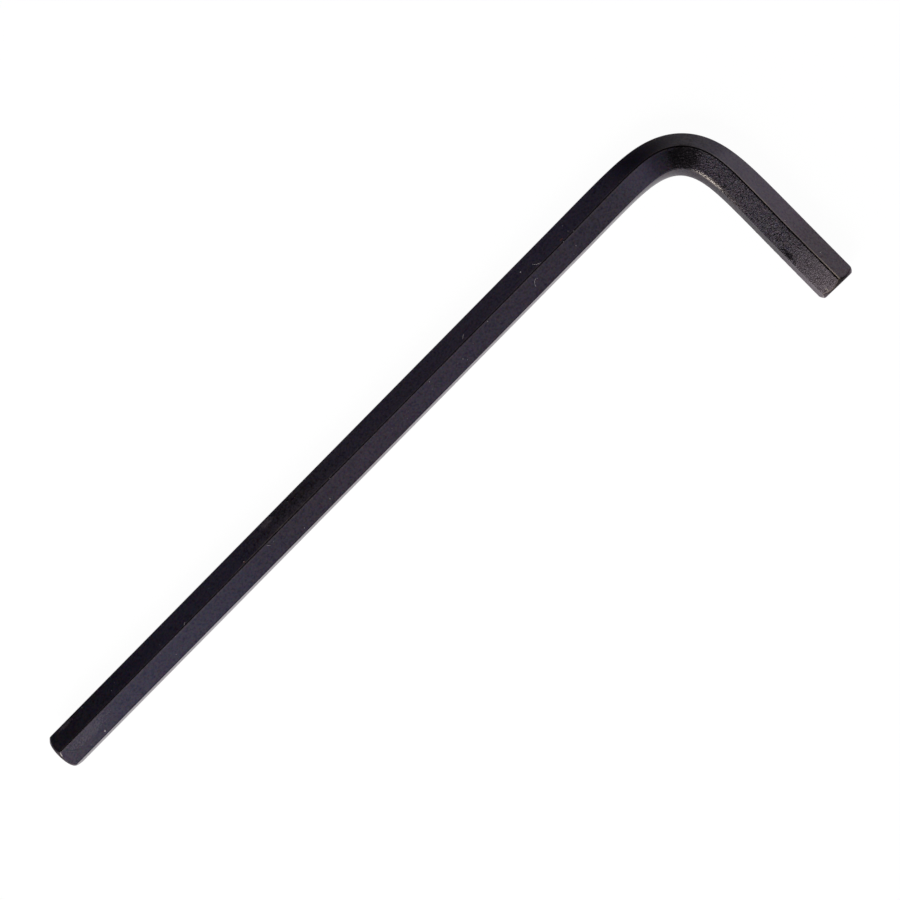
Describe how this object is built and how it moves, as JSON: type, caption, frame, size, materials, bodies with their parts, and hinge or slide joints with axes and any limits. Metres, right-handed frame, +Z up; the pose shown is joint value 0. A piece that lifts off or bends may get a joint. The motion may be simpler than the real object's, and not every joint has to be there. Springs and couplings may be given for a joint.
{
  "type": "hex key",
  "caption": "L-shaped hexagonal steel driver with a long and a short arm, lying on its side, in worn black oxide.",
  "frame": {"origin": "centre of the flat end face of the long arm", "axes": "+X runs from the long arm's tip to the bend, +Y points to the outside of the long arm, so the short arm runs towards -Y, and +Z is up from the surface that the key lies on"},
  "size_m": [0.1389, 0.0375, 0.0068],
  "materials": {
    "black_oxide_steel": "drawn and bent alloy steel bar with a semi-matte blue-black oxide skin, rubbed thin along the edges"
  },
  "bodies": {
    "root": {"hex_key": "black_oxide_steel"}
  },
  "joints": []
}
